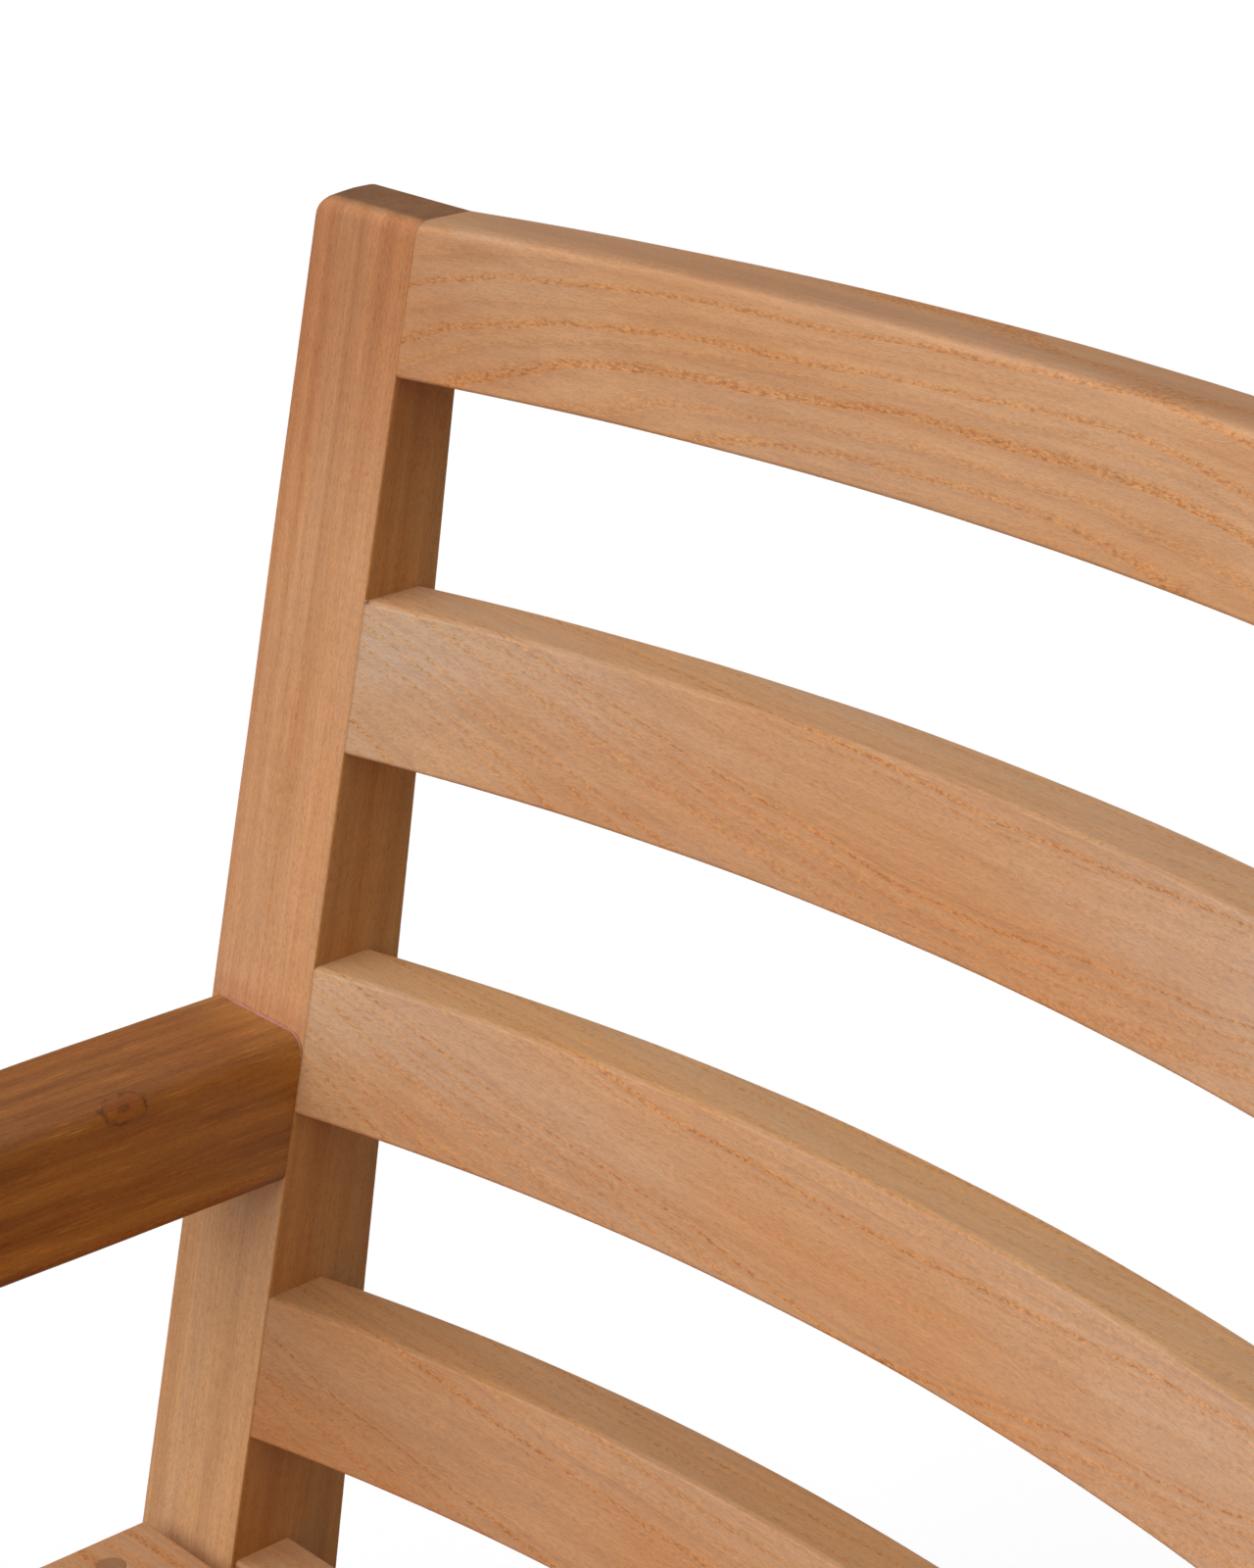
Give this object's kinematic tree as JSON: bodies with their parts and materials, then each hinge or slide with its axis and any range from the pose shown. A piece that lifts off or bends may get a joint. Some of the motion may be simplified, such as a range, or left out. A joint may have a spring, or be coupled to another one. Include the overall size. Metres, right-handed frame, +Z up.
{
  "type": "garden armchair",
  "caption": "Teak outdoor armchair with a raked, bowed ladder back, flat-sided arms and a slatted seat, joined with pegged mortise and tenon.",
  "frame": {"origin": "centre of the chair's footprint box, on the floor", "axes": "+Z up; +Y towards the back of the chair; +X to the right of someone facing the chair's front"},
  "size_m": [0.58, 0.6195, 0.915],
  "materials": {
    "post_teak": "unfinished teak, planed and sanded, satin-matte, orange-tan",
    "top_rail_teak": "unfinished teak, planed and sanded, satin-matte, warm tan",
    "back_slat_teak": "unfinished teak, planed and sanded, satin-matte, pinkish tan",
    "arm_teak": "unfinished teak, planed and sanded, satin-matte, darker brown",
    "seat_teak": "unfinished teak, planed and sanded, satin-matte, tan",
    "peg_teak": "end-grain teak dowel, matte, brown",
    "screw_steel": "plain stainless steel, satin"
  },
  "bodies": {
    "root": {"rear_post_left": "post_teak", "rear_post_right": "post_teak", "top_rail": "top_rail_teak", "back_slat_upper": "back_slat_teak", "back_slat_middle": "back_slat_teak", "back_slat_lower": "back_slat_teak", "arm_left": "arm_teak", "arm_right": "arm_teak", "front_leg_left": "post_teak", "front_leg_right": "post_teak", "front_seat_rail": "seat_teak", "rear_seat_rail": "seat_teak", "side_seat_rail_left": "seat_teak", "side_seat_rail_right": "seat_teak", "seat_bearer": "seat_teak", "seat_slat_1": "seat_teak", "seat_slat_2": "seat_teak", "seat_slat_3": "seat_teak", "seat_slat_4": "seat_teak", "seat_slat_5": "seat_teak", "seat_slat_6": "seat_teak", "seat_slat_7": "seat_teak", "peg_top_rail_left": "peg_teak", "peg_back_slat_upper_left": "peg_teak", "peg_back_slat_middle_left": "peg_teak", "peg_back_slat_lower_left": "peg_teak", "peg_arm_rear_left": "peg_teak", "peg_arm_front_left": "peg_teak", "peg_side_rail_front_left": "peg_teak", "peg_side_rail_rear_left": "peg_teak", "peg_front_rail_left": "peg_teak", "peg_rear_rail_left": "peg_teak", "peg_top_rail_right": "peg_teak", "peg_back_slat_upper_right": "peg_teak", "peg_back_slat_middle_right": "peg_teak", "peg_back_slat_lower_right": "peg_teak", "peg_arm_rear_right": "peg_teak", "peg_arm_front_right": "peg_teak", "peg_side_rail_front_right": "peg_teak", "peg_side_rail_rear_right": "peg_teak", "peg_front_rail_right": "peg_teak", "peg_rear_rail_right": "peg_teak", "seat_screw_1_left": "screw_steel", "seat_screw_2_left": "screw_steel", "seat_screw_3_left": "screw_steel", "seat_screw_4_left": "screw_steel", "seat_screw_5_left": "screw_steel", "seat_screw_6_left": "screw_steel", "seat_screw_7_left": "screw_steel", "seat_screw_1_right": "screw_steel", "seat_screw_2_right": "screw_steel", "seat_screw_3_right": "screw_steel", "seat_screw_4_right": "screw_steel", "seat_screw_5_right": "screw_steel", "seat_screw_6_right": "screw_steel", "seat_screw_7_right": "screw_steel"}
  },
  "joints": []
}
